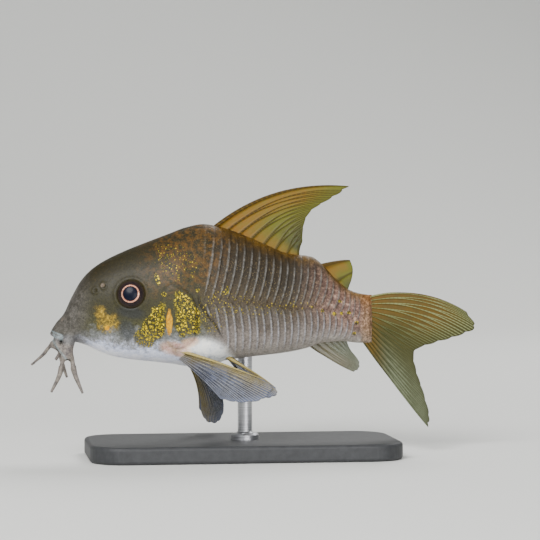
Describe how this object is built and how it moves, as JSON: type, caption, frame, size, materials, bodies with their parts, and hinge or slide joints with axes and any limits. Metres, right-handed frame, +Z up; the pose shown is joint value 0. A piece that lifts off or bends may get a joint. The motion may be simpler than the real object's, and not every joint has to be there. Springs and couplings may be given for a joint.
{
  "type": "corydoras catfish",
  "caption": "Still, life-size model of a slate corydoras catfish in a hovering pose, with plated flanks, rayed fins and barbels, on a flat stand with a short rod.",
  "frame": {"origin": "centre of the underside of the stand's base, on the surface that it rests on", "axes": "+Z up, +X from the fish's snout towards its tail, -Y on the fish's left side"},
  "size_m": [0.0778, 0.026, 0.0472],
  "materials": {
    "head_skin": "moist skin, dark grey-brown with gold flecks on the cheek",
    "gill_skin": "moist skin, reticulated gold over brown",
    "flank_skin": "moist bony plates, slate grey with pale edges",
    "fin_skin": "thin clear membrane, olive and amber between brown rays",
    "paired_fin_skin": "thin clear membrane, grey-lilac with olive rays",
    "barbel_skin": "soft translucent grey skin",
    "eye": "wet cornea over a dark pupil in a copper-pink ring",
    "stand_steel": "brushed rod",
    "stand_paint": "matte charcoal"
  },
  "bodies": {
    "root": {"head": "head_skin", "gill_cover_left": "gill_skin", "gill_cover_right": "gill_skin", "eye_left": "eye", "eye_right": "eye", "torso": "flank_skin", "tail": "flank_skin", "dorsal_fin": "fin_skin", "adipose_fin": "fin_skin", "anal_fin": "fin_skin", "caudal_fin": "fin_skin", "pectoral_fin_left": "paired_fin_skin", "pectoral_fin_right": "paired_fin_skin", "pelvic_fin_left": "paired_fin_skin", "pelvic_fin_right": "paired_fin_skin", "barbel_upper_left": "barbel_skin", "barbel_lower_left": "barbel_skin", "barbel_upper_right": "barbel_skin", "barbel_lower_right": "barbel_skin", "barbel_chin_left": "barbel_skin", "barbel_chin_right": "barbel_skin", "stand_rod": "stand_steel", "stand_base": "stand_paint"}
  },
  "joints": []
}
